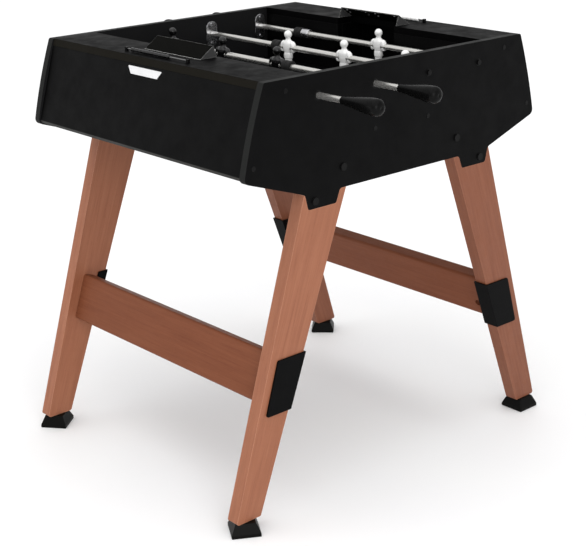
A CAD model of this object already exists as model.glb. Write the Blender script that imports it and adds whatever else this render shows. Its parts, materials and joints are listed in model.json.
import json
import math

import bmesh
import bpy
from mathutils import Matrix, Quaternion, Vector


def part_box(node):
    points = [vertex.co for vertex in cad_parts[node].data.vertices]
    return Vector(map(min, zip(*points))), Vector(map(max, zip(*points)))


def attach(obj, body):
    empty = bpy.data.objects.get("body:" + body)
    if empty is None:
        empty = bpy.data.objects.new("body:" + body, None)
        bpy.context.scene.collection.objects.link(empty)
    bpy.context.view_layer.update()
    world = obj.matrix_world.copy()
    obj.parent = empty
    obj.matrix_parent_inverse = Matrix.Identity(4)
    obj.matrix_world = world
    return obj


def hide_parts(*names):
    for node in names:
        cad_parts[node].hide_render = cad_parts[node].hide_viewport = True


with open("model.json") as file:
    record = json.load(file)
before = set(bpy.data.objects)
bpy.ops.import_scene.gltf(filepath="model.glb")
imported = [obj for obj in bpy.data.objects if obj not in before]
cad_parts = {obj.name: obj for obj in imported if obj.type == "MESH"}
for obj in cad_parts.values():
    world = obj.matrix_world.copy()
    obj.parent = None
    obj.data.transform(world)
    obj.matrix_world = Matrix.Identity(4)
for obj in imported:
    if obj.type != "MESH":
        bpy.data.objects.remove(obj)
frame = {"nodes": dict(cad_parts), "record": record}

MM = 0.001
TUBE_R = 6.5 * MM
RECORD = frame["record"]
BODY = {n: b for b, names in RECORD["behaviour"]["bodies"].items() for n in names}


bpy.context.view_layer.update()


# ---------------------------------------------------------------- materials

class Nodes:
    """A short way to build one node material."""

    def __init__(self, name):
        self.mat = bpy.data.materials.new(name)
        self.mat.use_nodes = True
        self.tree = self.mat.node_tree
        self.tree.nodes.clear()
        self.out = self.tree.nodes.new("ShaderNodeOutputMaterial")
        self.bsdf = self.tree.nodes.new("ShaderNodeBsdfPrincipled")
        self.link(self.bsdf.outputs[0], self.out.inputs[0])

    def new(self, kind, **props):
        node = self.tree.nodes.new("ShaderNode" + kind)
        for key, value in props.items():
            setattr(node, key, value)
        return node

    def link(self, a, b):
        self.tree.links.new(a, b)

    def feed(self, socket, value):
        """Sets a socket to a number or a colour, or links another node's output to it."""
        if isinstance(value, (int, float)):
            socket.default_value = value
        elif isinstance(value, (tuple, list)):
            socket.default_value = (*value, 1)
        else:
            self.link(value, socket)

    def coords(self, scale=(1, 1, 1), turn=(0, 0, 0)):
        """Object coordinates in metres, turned and then scaled."""
        tex = self.new("TexCoord")
        turned = self.new("VectorRotate", rotation_type="EULER_XYZ")
        turned.inputs["Rotation"].default_value = turn
        self.link(tex.outputs["Object"], turned.inputs["Vector"])
        scaled = self.new("VectorMath", operation="MULTIPLY")
        scaled.inputs[1].default_value = scale
        self.link(turned.outputs[0], scaled.inputs[0])
        return scaled.outputs[0]

    def noise(self, vector, scale, detail=3.0, rough=0.5, distort=0.0):
        tex = self.new("TexNoise")
        tex.inputs["Scale"].default_value = scale
        tex.inputs["Detail"].default_value = detail
        tex.inputs["Roughness"].default_value = rough
        tex.inputs["Distortion"].default_value = distort
        self.link(vector, tex.inputs["Vector"])
        return tex.outputs["Fac"]

    def ramp(self, fac, stops):
        node = self.new("ValToRGB")
        while len(node.color_ramp.elements) < len(stops):
            node.color_ramp.elements.new(0.5)
        for element, (pos, color) in zip(node.color_ramp.elements, stops):
            element.position = pos
            element.color = (*color, 1)
        self.link(fac, node.inputs[0])
        return node.outputs[0]

    def spread(self, fac, low, high):
        """Maps the middle of a noise's range onto low to high."""
        node = self.new("MapRange")
        node.inputs["From Min"].default_value = 0.3
        node.inputs["From Max"].default_value = 0.7
        node.inputs["To Min"].default_value = low
        node.inputs["To Max"].default_value = high
        self.link(fac, node.inputs["Value"])
        return node.outputs[0]

    def mix(self, fac, a, b, mode="MIX"):
        node = self.new("Mix", data_type="RGBA", blend_type=mode)
        self.feed(node.inputs[0], fac)
        self.feed(node.inputs[6], a)
        self.feed(node.inputs[7], b)
        return node.outputs[2]

    def bump(self, height, strength, distance, under=None):
        node = self.new("Bump")
        node.inputs["Strength"].default_value = strength
        node.inputs["Distance"].default_value = distance
        self.link(height, node.inputs["Height"])
        if under:
            self.link(under, node.inputs["Normal"])
        return node.outputs[0]

    def edges(self, radius, low=0.02, high=0.25):
        """0 on flat faces and 1 where the surface turns within the radius."""
        bevel = self.new("Bevel", samples=6)
        bevel.inputs["Radius"].default_value = radius
        geo = self.new("NewGeometry")
        dot = self.new("VectorMath", operation="DOT_PRODUCT")
        self.link(bevel.outputs[0], dot.inputs[0])
        self.link(geo.outputs["Normal"], dot.inputs[1])
        away = self.new("MapRange")
        away.inputs["From Min"].default_value = 1 - low
        away.inputs["From Max"].default_value = 1 - high
        self.link(dot.outputs["Value"], away.inputs["Value"])
        return away.outputs[0]

    def facing(self, axis):
        """1 on the faces that look along the axis, within about 45 degrees, and 0 elsewhere."""
        geo = self.new("NewGeometry")
        along = self.new("VectorMath", operation="DOT_PRODUCT")
        self.link(geo.outputs["Normal"], along.inputs[0])
        along.inputs[1].default_value = axis
        return self.above(along.outputs["Value"], 0.7)

    def beyond(self, vector, distance):
        """1 where a point is further from the middle along Y than the distance, 0 elsewhere."""
        split = self.new("SeparateXYZ")
        self.link(vector, split.inputs[0])
        away = self.new("Math", operation="ABSOLUTE")
        self.link(split.outputs[1], away.inputs[0])
        return self.above(away.outputs[0], distance)

    def above(self, value, limit):
        test = self.new("Math", operation="GREATER_THAN")
        test.inputs[1].default_value = limit
        self.link(value, test.inputs[0])
        return test.outputs[0]

    def done(self, color, rough, normal, **constants):
        self.feed(self.bsdf.inputs["Base Color"], color)
        self.feed(self.bsdf.inputs["Roughness"], rough)
        self.feed(self.bsdf.inputs["Normal"], normal)
        for key, value in constants.items():
            self.bsdf.inputs[key.replace("_", " ")].default_value = value
        return self.mat


BLACK = (0.0010, 0.0010, 0.0011)
RUB = (0.03, 0.03, 0.03)
DECK_RUB = (0.020, 0.018, 0.015)
DECK_EDGE = (0.009, 0.008, 0.006)
CUT_EDGE = (0.013, 0.0135, 0.013)
LINING = (0.010, 0.010, 0.0105)
CHAMFER = (0.035, 0.035, 0.033)
ROD_BRUSH = (900, 14, 900)
# The inner rods' heads start just outside the side panels
CAP_START = 360.2 * MM
# How far the legs' edges run outward for each unit of height, outboard and inboard
LEG_SLOPES = (0.301, 0.3784)
LEG_LEAN = math.atan(sum(LEG_SLOPES) / 2)


def board_material(name, base=BLACK, rub=RUB, rough=0.5, bands=(), specular=0.06):
    """Black laminated board, finely pebbled, with arrises of the colour rub. Each band is
    (axis, colour), a colour for the faces that look along the axis."""
    n = Nodes(name)
    pos = n.coords()
    mottle = n.noise(pos, 9, 4, 0.6)
    grain = n.noise(n.coords((140, 900, 900)), 1, 3, 0.6)
    pebble = n.noise(pos, 900, 2, 0.5)
    tone = n.ramp(mottle, [(0.3, base), (0.75, [c * 1.3 for c in base])])
    for axis, colour in bands:
        tone = n.mix(n.facing(axis), tone, colour)
    tone = n.mix(n.edges(0.9 * MM), tone, rub)
    gloss = n.spread(n.noise(pos, 26, 5, 0.62), rough - 0.08, rough + 0.12)
    normal = n.bump(pebble, 0.10, 0.12 * MM)
    normal = n.bump(grain, 0.05, 0.1 * MM, normal)
    return n.done(tone, gloss, normal, Specular_IOR_Level=specular)


def wood_material(name, turn, stain=(1, 1, 1), specular=0.28):
    """Red-brown stained wood. Its grain follows Z before the turn."""
    n = Nodes(name)
    pos = n.coords(turn=turn)
    stretched = n.coords((1, 1, 0.045), turn)
    bands = n.noise(stretched, 130, 4, 0.6, 0.5)
    fibres = n.noise(n.coords((1, 1, 0.018), turn), 620, 3, 0.6)
    pores = n.noise(n.coords((1, 1, 0.05), turn), 1500, 2, 0.5)
    plank = n.noise(n.coords((1, 1, 0.2), turn), 5, 2, 0.5)
    tone = n.ramp(bands, [
        (0.25, (0.318, 0.116, 0.061)), (0.5, (0.365, 0.141, 0.075)), (0.78, (0.405, 0.165, 0.090)),
    ])
    tone = n.mix(0.45, tone, n.ramp(fibres, [
        (0.3, (0.66, 0.58, 0.54)), (0.7, (1.0, 1.0, 1.0))]), "MULTIPLY")
    tone = n.mix(0.5, tone, n.ramp(plank, [
        (0.3, (0.82, 0.80, 0.78)), (0.7, (1.0, 1.0, 1.0))]), "MULTIPLY")
    flecks = n.ramp(pores, [(0.60, (1, 1, 1)), (0.72, (0.5, 0.42, 0.38))])
    tone = n.mix(0.4, tone, flecks, "MULTIPLY")
    tone = n.mix(n.edges(2.4 * MM, 0.03, 0.30), tone, (0.56, 0.28, 0.18))
    tone = n.mix(1.0, tone, stain, "MULTIPLY")
    gloss = n.spread(n.noise(pos, 60, 4, 0.6), 0.40, 0.55)
    normal = n.bump(fibres, 0.20, 0.16 * MM)
    normal = n.bump(pores, 0.12, 0.12 * MM, normal)
    return n.done(tone, gloss, normal, Specular_IOR_Level=specular)


def plastic_material(name, base, rough, mottled=0.12, coat=0.0, bump=0.04, specular=0.5):
    """Moulded plastic, slightly mottled, with a faint texture."""
    n = Nodes(name)
    pos = n.coords()
    tone = n.ramp(n.noise(pos, 70, 3, 0.5), [
        (0.3, [c * (1 - mottled) for c in base]), (0.7, [min(1, c * (1 + mottled)) for c in base])])
    gloss = n.spread(n.noise(pos, 190, 4, 0.6), max(0.03, rough - 0.05), rough + 0.06)
    normal = n.bump(n.noise(pos, 650, 2, 0.5), bump, 0.1 * MM)
    return n.done(tone, gloss, normal, Coat_Weight=coat, Coat_Roughness=0.06,
                  Specular_IOR_Level=specular)


def metal_material(name, base, rough, brush, strength=0.05, metallic=1.0):
    """Brushed metal. brush is how fine the lines are along each axis."""
    n = Nodes(name)
    pos = n.coords()
    lines = n.noise(n.coords(brush), 1, 3, 0.6)
    tone = n.ramp(n.noise(pos, 40, 3, 0.5), [(0.3, [c * 0.93 for c in base]), (0.7, base)])
    gloss = n.spread(lines, max(0.02, rough * 0.75), rough * 1.3)
    normal = n.bump(lines, strength, 0.05 * MM)
    return n.done(tone, gloss, normal, Metallic=metallic)


def coated_material(name, base, edge, rough, arris=0.8 * MM, specular=0.14, cheek=None):
    """Powder-coated metal or moulded rubber: fine orange peel and paler rubbed edges. cheek is
    the colour of the faces that look along Y."""
    n = Nodes(name)
    pos = n.coords()
    peel = n.noise(pos, 480, 3, 0.55)
    tone = n.ramp(n.noise(pos, 30, 4, 0.6), [(0.3, base), (0.7, [c * 1.5 for c in base])])
    if cheek:
        for way in (-1, 1):
            tone = n.mix(n.facing((0, way, 0)), tone, cheek)
    tone = n.mix(n.edges(arris), tone, edge)
    gloss = n.spread(peel, rough - 0.07, rough + 0.1)
    return n.done(tone, gloss, n.bump(peel, 0.32, 0.2 * MM), Specular_IOR_Level=specular)


def inner_rod_material(name):
    """A brushed steel rod with a black cap on the end that shows outside the side panel."""
    rough = 0.25
    n = Nodes(name)
    lines = n.noise(n.coords(ROD_BRUSH), 1, 3, 0.6)
    cap = n.beyond(n.coords(), CAP_START)
    tone = n.mix(cap, (0.62, 0.62, 0.64), (0.002, 0.002, 0.002))
    n.link(n.spread(cap, 1.0, 0.0), n.bsdf.inputs["Metallic"])
    gloss = n.spread(lines, rough * 0.75, rough * 1.3)
    return n.done(tone, gloss, n.bump(lines, 0.03, 0.05 * MM), Specular_IOR_Level=0.1)


def side_material(name, inward):
    """The side panels' board, with greyer cut edges and a paler lining inside the cabinet."""
    edges = [(axis, CUT_EDGE) for axis in ((1, 0, 0), (-1, 0, 0), (0, 0, 1), (0, 0, -1))]
    return board_material(name, bands=edges + [((0, inward, 0), LINING)])


def end_material(name, way):
    """An end panel's board, with a paler chamfer at its lower edge. way is its side along X."""
    return board_material(name, bands=[((way * 0.76, 0, -0.65), CHAMFER)])


def deck_material(name, way):
    """A deck's board, with a browner band on its outer edge. way is its side along X."""
    return board_material(name, rub=DECK_RUB, bands=[((way, 0, 0), DECK_EDGE)], specular=0.025)


def even(value):
    """A grey with the same value in all three channels."""
    return (value, value, value)


M = {
    "board": board_material("black_board"),
    "end_a": end_material("end_board_a", -1),
    "end_b": end_material("end_board_b", 1),
    "side_near": side_material("side_board_near", 1),
    "side_far": side_material("side_board_far", -1),
    "deck_a": deck_material("deck_board_a", -1),
    "deck_b": deck_material("deck_board_b", 1),
    "field": board_material("field_board", (0.0022, 0.0022, 0.0024), even(0.02), 0.3),
    "hood": coated_material("hood_sheet", (0.0020, 0.0020, 0.0016), (0.80, 0.80, 0.78), 0.36,
                            1.0 * MM, 0.01, even(0.05)),
    "leg_a": wood_material("leg_wood_a", (0, -LEG_LEAN, 0), (0.93, 0.91, 0.89)),
    "leg_b": wood_material("leg_wood_b", (0, LEG_LEAN, 0), (0.64, 0.56, 0.51)),
    "stretcher": wood_material("stretcher_wood", (math.pi / 2, 0, 0), (0.58, 0.49, 0.43), 0.12),
    "batten": wood_material("batten_wood", (0, math.pi / 2, 0)),
    "screw": coated_material("black_fixing", even(0.004), even(0.02), 0.36, specular=0.08),
    "bracket": coated_material("bracket_coat", (0.0014, 0.0014, 0.0015), even(0.02), 0.48,
                               specular=0.05),
    "steel": metal_material("satin_steel", (0.66, 0.66, 0.68), 0.26, (600, 60, 600)),
    "badge": metal_material("badge_plate", (0.94, 0.94, 0.95), 0.45, (900, 20, 900)),
    "chrome": metal_material("rod_chrome", (0.72, 0.71, 0.68), 0.24, ROD_BRUSH, 0.03, 0.85),
    "rail": metal_material("scorer_rail_steel", even(0.22), 0.34, ROD_BRUSH, 0.03),
    "handle": plastic_material("handle_plastic", even(0.003), 0.26, 0.1, 0.0, 0.02, 0.07),
    "black": plastic_material("black_plastic", (0.003, 0.003, 0.0032), 0.20, 0.1, 0.1, specular=0.35),
    "white": plastic_material("white_plastic", (0.93, 0.93, 0.92), 0.22, 0.03, 0.3),
    "rubber": coated_material("bumper_rubber", even(0.012), even(0.03), 0.60),
    "bush": plastic_material("bush_nylon", even(0.002), 0.42, specular=0.1),
    "foot": coated_material("foot_rubber", (0.0018, 0.0017, 0.0015), even(0.03), 0.40,
                            specular=0.08),
    "core": inner_rod_material("inner_rod"),
}


# ---------------------------------------------------------------- making pieces

def piece(name, mesh, material, *nodes):
    """A new object that stands for CAD nodes, on their body and with their finish."""
    obj = bpy.data.objects.new(name, mesh)
    bpy.context.scene.collection.objects.link(obj)
    mesh.materials.clear()
    mesh.materials.append(material)
    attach(obj, BODY[nodes[0]])
    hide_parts(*nodes)
    return obj


def finish_mesh(bm, name, smooth=True):
    """Turns a bmesh into a mesh and frees it."""
    bmesh.ops.recalc_face_normals(bm, faces=bm.faces)
    for face in bm.faces:
        face.smooth = smooth
    mesh = bpy.data.meshes.new(name)
    bm.to_mesh(mesh)
    bm.free()
    return mesh


def soften(node, material, width, segments, angle):
    """The CAD shape with its edges rounded in real geometry."""
    bm = bmesh.new()
    bm.from_mesh(frame["nodes"][node].data)
    bmesh.ops.remove_doubles(bm, verts=bm.verts, dist=0.004 * MM)
    bmesh.ops.dissolve_limit(
        bm, angle_limit=math.radians(0.4), verts=bm.verts, edges=bm.edges)
    obj = piece("round_" + node, finish_mesh(bm, node), material, node)
    bevel = obj.modifiers.new("round", "BEVEL")
    bevel.width = width
    bevel.segments = segments
    bevel.limit_method = "ANGLE"
    bevel.angle_limit = math.radians(angle)
    bevel.use_clamp_overlap = True
    flat = obj.modifiers.new("flat", "WEIGHTED_NORMAL")
    flat.mode = "FACE_AREA"
    flat.weight = 100


def repaint(node, material):
    """Gives a CAD node a new material and leaves its shape."""
    obj = frame["nodes"][node]
    for slot in obj.material_slots:
        slot.material = material


def lathe(bm, profile, start, toward, steps=48):
    """Revolves (distance along Y, radius) points about a Y axis through start. Only the last
    point may lie on the axis."""
    x, y, z = start
    rings = []
    for along, radius in profile:
        if radius < 1e-6:
            rings.append([bm.verts.new((x, y + toward * along, z))])
            continue
        rings.append([
            bm.verts.new((x + radius * math.cos(t), y + toward * along, z + radius * math.sin(t)))
            for t in (2 * math.pi * i / steps for i in range(steps))])
    for a, b in zip(rings, rings[1:]):
        for i in range(steps):
            j = (i + 1) % steps
            if len(b) == 1:
                bm.faces.new((a[i], b[0], a[j]))
            else:
                bm.faces.new((a[i], b[i], b[j], a[j]))


def arc(cx, cr, radius, start, end, steps=6):
    """Points (along, radius) on a circular arc, angles in degrees from the along axis."""
    return [
        (cx + radius * math.cos(math.radians(start + (end - start) * i / steps)),
         cr + radius * math.sin(math.radians(start + (end - start) * i / steps)))
        for i in range(steps + 1)]


def centre(node):
    lo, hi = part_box(node)
    return [(lo[i] + hi[i]) / 2 for i in range(3)]


# ---------------------------------------------------------------- players

def ring_loft(bm, sections, steps=28, power=2.4):
    """Closed skin through superellipse sections (z, half width in Y, half depth in X, y, x)."""
    rings = []
    for z, wy, dx, oy, ox in sections:
        ring = []
        for i in range(steps):
            t = 2 * math.pi * i / steps
            c, s = math.cos(t), math.sin(t)
            ring.append(bm.verts.new((
                ox + dx * math.copysign(abs(c) ** (2 / power), c),
                oy + wy * math.copysign(abs(s) ** (2 / power), s), z)))
        rings.append(ring)
    for a, b in zip(rings, rings[1:]):
        for i in range(steps):
            j = (i + 1) % steps
            bm.faces.new((a[i], a[j], b[j], b[i]))
    bm.faces.new(reversed(rings[0]))
    bm.faces.new(rings[-1])


HEAD_R = 9.0
HEAD_Z = 28.9
PLAYER_HALF_W = 23 * MM
# How far a player may reach from its rod's axis, in millimetres: (least, most) in X, Y and Z
PLAYER_REACH = ((-9.95, 9.95), (-22.9, 22.9), (-71.9, 37.9))


def player_mesh():
    """One moulded, faceless player in millimetres: rod at the origin, fused and smoothed."""
    bm = bmesh.new()
    # Sections as (height, half width, half depth)
    torso = [
        (-72, 10.8, 9.2), (-70, 11.3, 9.7), (-60, 11.2, 9.3), (-56, 10.6, 8.0), (-51, 8.6, 6.4),
        (-44, 7.8, 5.7), (-36, 8.1, 5.9), (-28, 8.8, 6.5), (-24.5, 9.2, 6.9), (-23.5, 10.4, 8.0),
        (-16, 10.6, 8.4), (-12.4, 10.2, 8.1), (-11.4, 9.4, 7.5), (-8, 10.6, 8.5), (-2, 12.8, 9.7),
        (5, 14.4, 9.8), (10, 14.2, 9.2), (13.5, 11.0, 7.6), (16, 7.4, 6.0), (18, 5.4, 5.2),
        (22, 5.0, 5.0)]
    ring_loft(bm, [(z, w, d, 0, 0) for z, w, d in torso])
    # Sections as (height, half width, half depth, distance out from the middle)
    arm = [
        (-10.5, 2.2, 2.4, 16.6), (-9.3, 4.2, 4.6, 16.8), (-5, 5.4, 6.0, 17.2),
        (0, 5.8, 6.5, 17.1), (5, 6.2, 6.8, 16.6), (10, 5.6, 6.2, 15.2), (13, 4.4, 5.0, 13.4),
        (14.6, 2.4, 3.0, 12.4)]
    for side in (-1, 1):
        ring_loft(bm, [(z, w, d, side * y, 0) for z, w, d, y in arm], 20, 2.1)
    head = []
    for i in range(13):
        angle = math.pi * (0.04 + 0.92 * i / 12)
        radius = HEAD_R * math.sin(angle)
        head.append((HEAD_Z - HEAD_R * math.cos(angle), radius * 0.97, radius, 0, 0))
    ring_loft(bm, head, 32, 2.0)
    mesh = finish_mesh(bm, "player_raw")
    scratch = bpy.data.objects.new("player_scratch", mesh)
    bpy.context.scene.collection.objects.link(scratch)
    remesh = scratch.modifiers.new("fuse", "REMESH")
    remesh.mode = "VOXEL"
    remesh.voxel_size = 0.75
    remesh.use_smooth_shade = True
    smooth = scratch.modifiers.new("smooth", "SMOOTH")
    smooth.factor = 0.5
    smooth.iterations = 5
    graph = bpy.context.evaluated_depsgraph_get()
    result = bpy.data.meshes.new_from_object(scratch.evaluated_get(graph))
    bpy.data.objects.remove(scratch)
    return result


PLAYER = player_mesh()


def figures(node, spots, material):
    """Copies of the player along one rod, at the Y places in spots, kept inside the node's box."""
    axis = (centre(node)[0], 0, centre("tube_attack_black")[2])
    bm = bmesh.new()
    for y in spots:
        first = len(bm.verts)
        bm.from_mesh(PLAYER)
        bm.verts.ensure_lookup_table()
        for vert in bm.verts[first:]:
            for i, (least, most) in enumerate(PLAYER_REACH):
                vert.co[i] = max(least, min(most, vert.co[i])) * MM + axis[i]
            vert.co.y += y
    piece("figures_" + node, finish_mesh(bm, node), material, node)


for colour in ("black", "white"):
    lo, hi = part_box("players_" + colour)
    half = (hi[1] - lo[1]) / 2 - PLAYER_HALF_W
    mid = (lo[1] + hi[1]) / 2
    figures("players_" + colour, (mid - half, mid, mid + half), M[colour])
    figures("goalie_" + colour, (centre("goalie_" + colour)[1],), M[colour])


# ---------------------------------------------------------------- handles, bumpers, collars

def handle_piece(node):
    """A club-shaped handle with a rounded end, a small dimple in it and a blind bore."""
    bore = 6.6 * MM
    neck = 7.9 * MM
    neck_l = 5 * MM
    shoulder = 12.2 * MM
    swell_steps = 16
    lo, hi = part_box(node)
    c = centre(node)
    toward = -1 if c[1] < 0 else 1
    start = (c[0], hi[1] if toward < 0 else lo[1], c[2])
    length = hi[1] - lo[1]
    grip = (hi[0] - lo[0]) / 2
    swell_l = length - 24 * MM - neck_l
    profile = [
        (0, bore), (0, bore + 0.3 * MM), (0.8 * MM, neck - 0.3 * MM), (2.2 * MM, neck - 0.1 * MM),
        (neck_l, neck)]
    for i in range(1, swell_steps + 1):
        t = i / swell_steps
        ease = t * t * (3 - 2 * t) * 0.35 + t * 0.65
        profile.append((neck_l + swell_l * t, neck + (grip - neck - 0.1 * MM) * ease))
    profile.append((length - 16 * MM, grip - 0.05 * MM))
    profile += arc(length - shoulder, grip - shoulder, shoulder - 0.1 * MM, 88, 8, 10)
    profile += [
        (length - 0.05 * MM, grip - shoulder - 0.4 * MM), (length - 0.05 * MM, 3.2 * MM),
        (length - 0.7 * MM, 2.4 * MM), (length - 0.8 * MM, 0)]
    bm = bmesh.new()
    lathe(bm, profile, start, toward, 64)
    lathe(bm, [(0, bore), (4 * MM, bore - 0.05 * MM), (4 * MM, 0)], start, toward, 64)
    bmesh.ops.remove_doubles(bm, verts=bm.verts, dist=0.001 * MM)
    piece("grip_" + node, finish_mesh(bm, node), M["handle"], node)


def ring_piece(name, node, spans, outer, inner, material, round_r, groove=0.0):
    """Rounded rings along the node's axis; a groove runs round the middle of each."""
    x, _, z = centre(node)
    bm = bmesh.new()
    for y0, y1 in spans:
        length = y1 - y0
        half = length / 2
        profile = [(0, inner), (0, outer - round_r)]
        profile += arc(round_r, outer - round_r, round_r, 180, 90)
        if groove:
            profile += [(half - 2 * groove, outer), (half - groove, outer - groove),
                        (half + groove, outer - groove), (half + 2 * groove, outer)]
        profile += arc(length - round_r, outer - round_r, round_r, 90, 0)
        profile += [(length, inner), (0, inner)]
        lathe(bm, profile, (x, y0, z), 1)
    bmesh.ops.remove_doubles(bm, verts=bm.verts, dist=0.001 * MM)
    piece(name, finish_mesh(bm, name), material, node)


def spans_of(node):
    """The Y spans of a node's separate rings, from its own vertices."""
    ys = sorted({round(v.co.y, 5) for v in frame["nodes"][node].data.vertices})
    return list(zip(ys[::2], ys[1::2]))


def bumpers(node):
    """Rubber bumpers, each with a shallow groove round it."""
    ring_piece("bumpers_" + node, node, spans_of(node), 12.5 * MM, TUBE_R, M["rubber"],
               2.4 * MM, 0.9 * MM)


def collars(node):
    """The bright clamp collars of a goalkeeper rod."""
    ring_piece("rings_" + node, node, spans_of(node), 11 * MM, TUBE_R, M["steel"], 1.2 * MM)


def score_beads(end, material):
    """Ten rounded beads in a row on their rail."""
    count = 10
    length = 12.6 * MM
    rail_r = 1.55 * MM
    node = "scorer_beads_" + end
    lo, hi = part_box(node)
    radius = (hi[2] - lo[2]) / 2
    pitch = (hi[1] - lo[1] - length) / (count - 1)
    spans = [(lo[1] + i * pitch, lo[1] + i * pitch + length) for i in range(count)]
    ring_piece("beads_" + end, node, spans, radius, rail_r, material, 0.45 * radius)


for rod in ("goalie", "attack"):
    for colour in ("black", "white"):
        handle_piece(f"handle_{rod}_{colour}")
        bumpers(f"stops_{rod}_{colour}")
for colour in ("black", "white"):
    collars("collars_goalie_" + colour)
score_beads("a", M["black"])
score_beads("b", M["white"])


# ---------------------------------------------------------------- shapes taken from the CAD

# (nodes, material, rounding in mm, segments of the rounding, least angle that is rounded)
SOFTENED = [
    (("side_panel_near",), "side_near", 0.9, 3, 30),
    (("side_panel_far",), "side_far", 0.9, 3, 30),
    (("end_panel_a",), "end_a", 0.8, 3, 30),
    (("end_panel_b",), "end_b", 0.8, 3, 30),
    (("goal_walls_a", "goal_walls_b"), "board", 0.8, 3, 30),
    (("deck_a",), "deck_a", 0.8, 3, 30),
    (("deck_b",), "deck_b", 0.8, 3, 30),
    (("playfield",), "field", 0.6, 3, 30),
    (("leg_near_a", "leg_far_a"), "leg_a", 2.6, 4, 40),
    (("leg_near_b", "leg_far_b"), "leg_b", 2.6, 4, 40),
    (("stretcher_a", "stretcher_b"), "stretcher", 1.2, 3, 40),
    (("leg_brackets",), "bracket", 0.9, 3, 40),
    (("foot_near_a", "foot_near_b", "foot_far_a", "foot_far_b"), "foot", 2.6, 4, 20),
    (("badge",), "badge", 0.5, 3, 30),
    (("goal_hood_a", "goal_hood_b"), "hood", 0.6, 3, 25),
    (("rod_plates",), "steel", 0.7, 3, 40),
]
RODS = [f"{rod}_{colour}" for rod in ("goalie", "attack") for colour in ("black", "white")]
REPAINTED = {
    "batten": ["deck_cleats"],
    "board": ["goal_trays"],
    "rail": ["scorer_rails"],
    "bush": ["scorer_posts", "tube_bushes", "core_bushes"],
    "screw": ["panel_screws", "leg_bolts"],
    "steel": ["trim_screws", "stretcher_bolts", "barrel_nuts", "foot_studs"],
    "core": ["core_" + rod for rod in RODS],
    "chrome": ["tube_" + rod for rod in RODS],
}

for nodes, key, width, segments, angle in SOFTENED:
    for node in nodes:
        soften(node, M[key], width * MM, segments, angle)
for key, nodes in REPAINTED.items():
    for node in nodes:
        repaint(node, M[key])


# ---------------------------------------------------------------- stage, light and camera

def make_floor():
    reach = 30
    corners = ((-reach, -reach, 0), (reach, -reach, 0), (reach, reach, 0), (-reach, reach, 0))
    bm = bmesh.new()
    bm.faces.new([bm.verts.new(corner) for corner in corners])
    mesh = finish_mesh(bm, "studio_floor", False)
    floor = bpy.data.objects.new("studio_floor", mesh)
    bpy.context.scene.collection.objects.link(floor)
    n = Nodes("floor_paper")
    pos = n.coords()
    tone = n.ramp(n.noise(pos, 2, 3, 0.5), [(0.3, (0.92, 0.92, 0.93)), (0.7, (0.94, 0.94, 0.94))])
    mesh.materials.append(n.done(tone, 0.6, n.bump(n.noise(pos, 300, 2), 0.02, 0.2 * MM)))


def area_light(name, pos, target, size, power):
    data = bpy.data.lights.new(name, "AREA")
    data.shape = "RECTANGLE"
    data.size, data.size_y = size
    data.energy = power
    light = bpy.data.objects.new(name, data)
    light.location = pos
    light.rotation_euler = (Vector(target) - Vector(pos)).to_track_quat("-Z", "Y").to_euler()
    bpy.context.scene.collection.objects.link(light)


def soft_sun(name, toward, strength, spread):
    data = bpy.data.lights.new(name, "SUN")
    data.energy = strength
    data.angle = math.radians(spread)
    sun = bpy.data.objects.new(name, data)
    sun.rotation_euler = Vector(toward).to_track_quat("-Z", "Y").to_euler()
    bpy.context.scene.collection.objects.link(sun)


def make_world():
    world = bpy.data.worlds.new("studio")
    world.use_nodes = True
    back = world.node_tree.nodes["Background"]
    back.inputs[0].default_value = (1, 1, 1, 1)
    back.inputs[1].default_value = 0.82
    bpy.context.scene.world = world
    bpy.context.scene.view_settings.view_transform = "Standard"


def make_camera():
    pos = Vector((-1.93657, -2.21275, 1.39076))
    look = Vector((0.62333, 0.70802, -0.33192))
    roll = math.radians(-1.0781)
    data = bpy.data.cameras.new("camera")
    data.sensor_width = 36
    data.sensor_fit = "HORIZONTAL"
    data.lens = 83.39
    data.shift_x = 0.0035
    data.shift_y = -0.0004
    data.clip_end = 100
    camera = bpy.data.objects.new("camera", data)
    camera.location = pos
    turn = look.to_track_quat("-Z", "Y") @ Quaternion((0, 0, 1), roll)
    camera.rotation_euler = turn.to_euler()
    bpy.context.scene.collection.objects.link(camera)
    bpy.context.scene.camera = camera


make_floor()
make_world()
soft_sun("key", (0.30, 0.15, -1), 1.25, 90)
area_light("front", (-1.7, -3.0, 1.5), (-0.4, -0.3, 0.40), (1.8, 1.6), 30)
area_light("side", (-3.2, 2.2, 1.2), (-0.4, 0.1, 0.8), (1.4, 0.8), 3)
make_camera()

bpy.context.view_layer.update()
